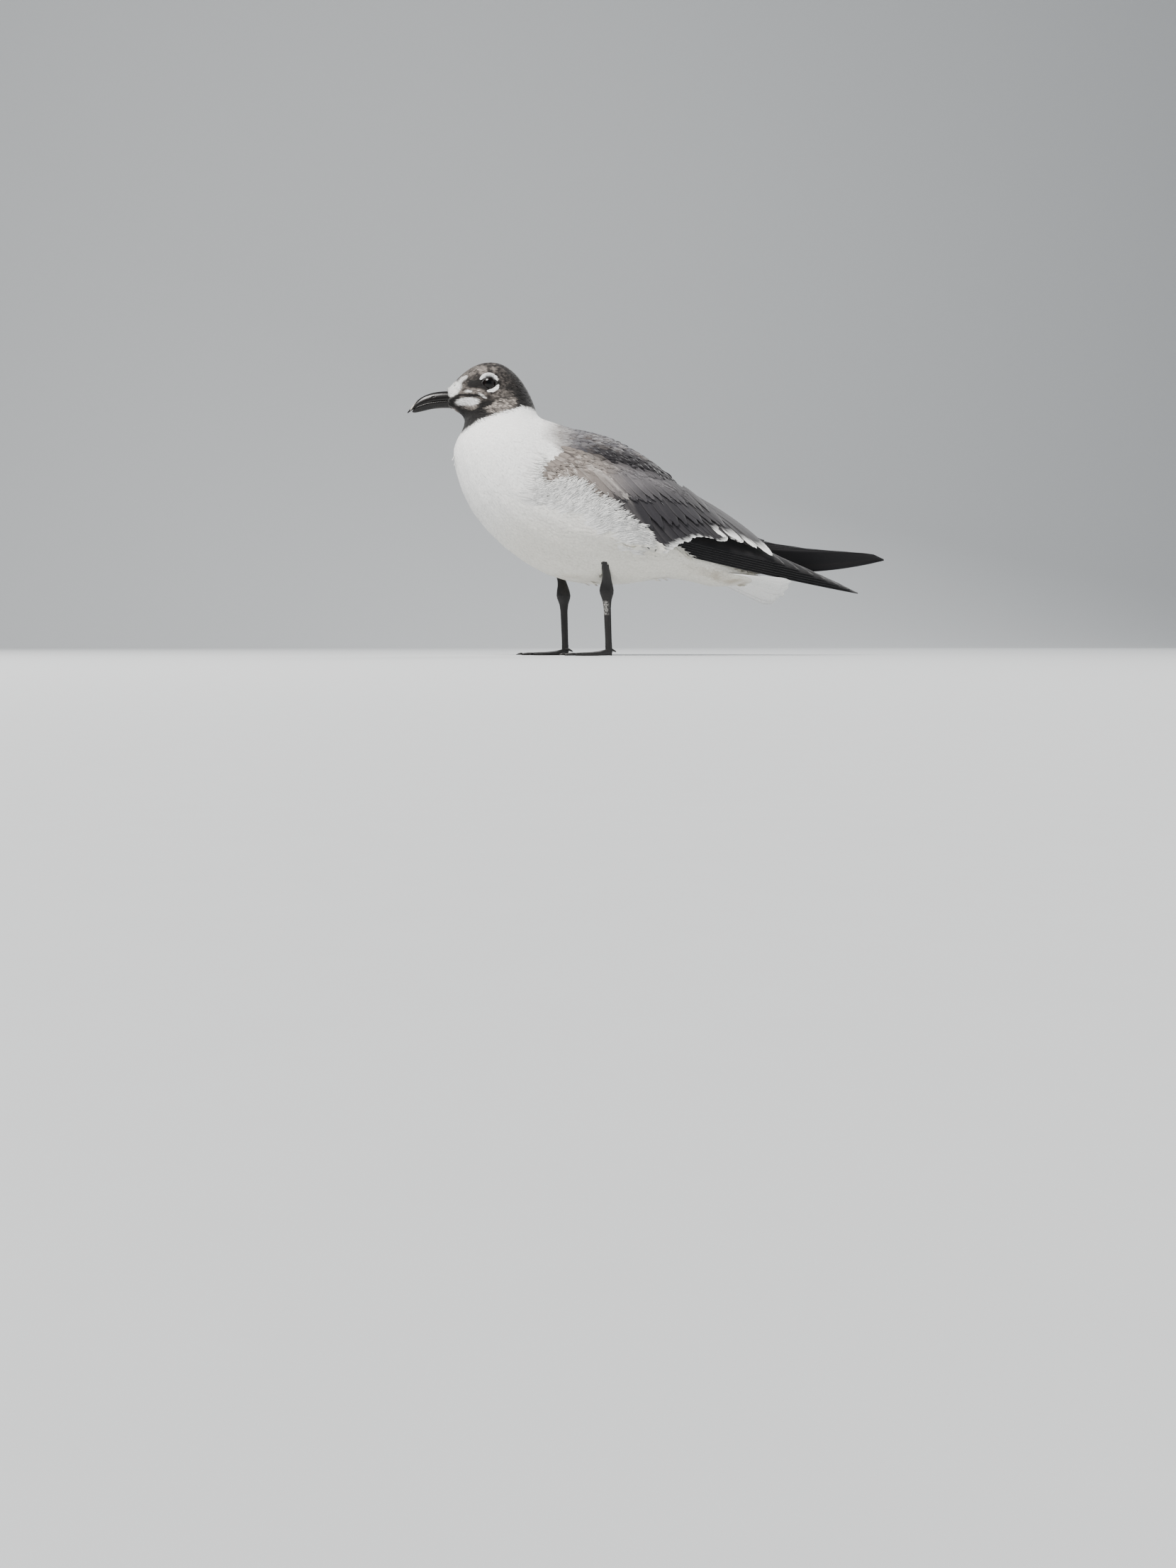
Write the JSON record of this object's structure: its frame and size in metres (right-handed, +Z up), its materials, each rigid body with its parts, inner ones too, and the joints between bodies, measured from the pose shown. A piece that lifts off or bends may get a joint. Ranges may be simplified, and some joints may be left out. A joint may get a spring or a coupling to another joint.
{
  "type": "standing laughing gull model",
  "caption": "Life-size standing gull with a worn dark hood, white body, grey folded wings and crossed black wing tips, on webbed feet.",
  "frame": {"origin": "on the floor under the middle of the whole bird", "axes": "+Z up, the bird faces -X, its left side is towards -Y"},
  "size_m": [0.4052, 0.1054, 0.2393],
  "materials": {
    "white_plumage": "matt white body feathers",
    "grey_plumage": "matt slate-grey wing feathers, worn brownish",
    "hood": "short matt dark grey-brown feathers, mottled white in front",
    "black_quills": "smooth black flight feathers with a faint sheen",
    "horn": "black horn, satin and scratched",
    "leg": "dark scaled skin",
    "eye": "wet, clear and dark"
  },
  "bodies": {
    "root": {"head": "hood", "neck": "white_plumage", "trunk": "white_plumage", "rump": "white_plumage", "tail": "white_plumage", "bill_upper": "horn", "bill_lower": "horn", "eye_left": "eye", "eye_right": "eye", "scapulars_left": "grey_plumage", "scapulars_right": "grey_plumage", "wing_left": "grey_plumage", "wing_right": "grey_plumage", "primaries_left": "black_quills", "primaries_right": "black_quills", "tibia_left": "leg", "tibia_right": "leg", "tarsus_left": "leg", "tarsus_right": "leg", "foot_left": "leg", "foot_right": "leg", "claw_left_1": "horn", "claw_left_2": "horn", "claw_left_3": "horn", "claw_right_1": "horn", "claw_right_2": "horn", "claw_right_3": "horn"}
  },
  "joints": []
}
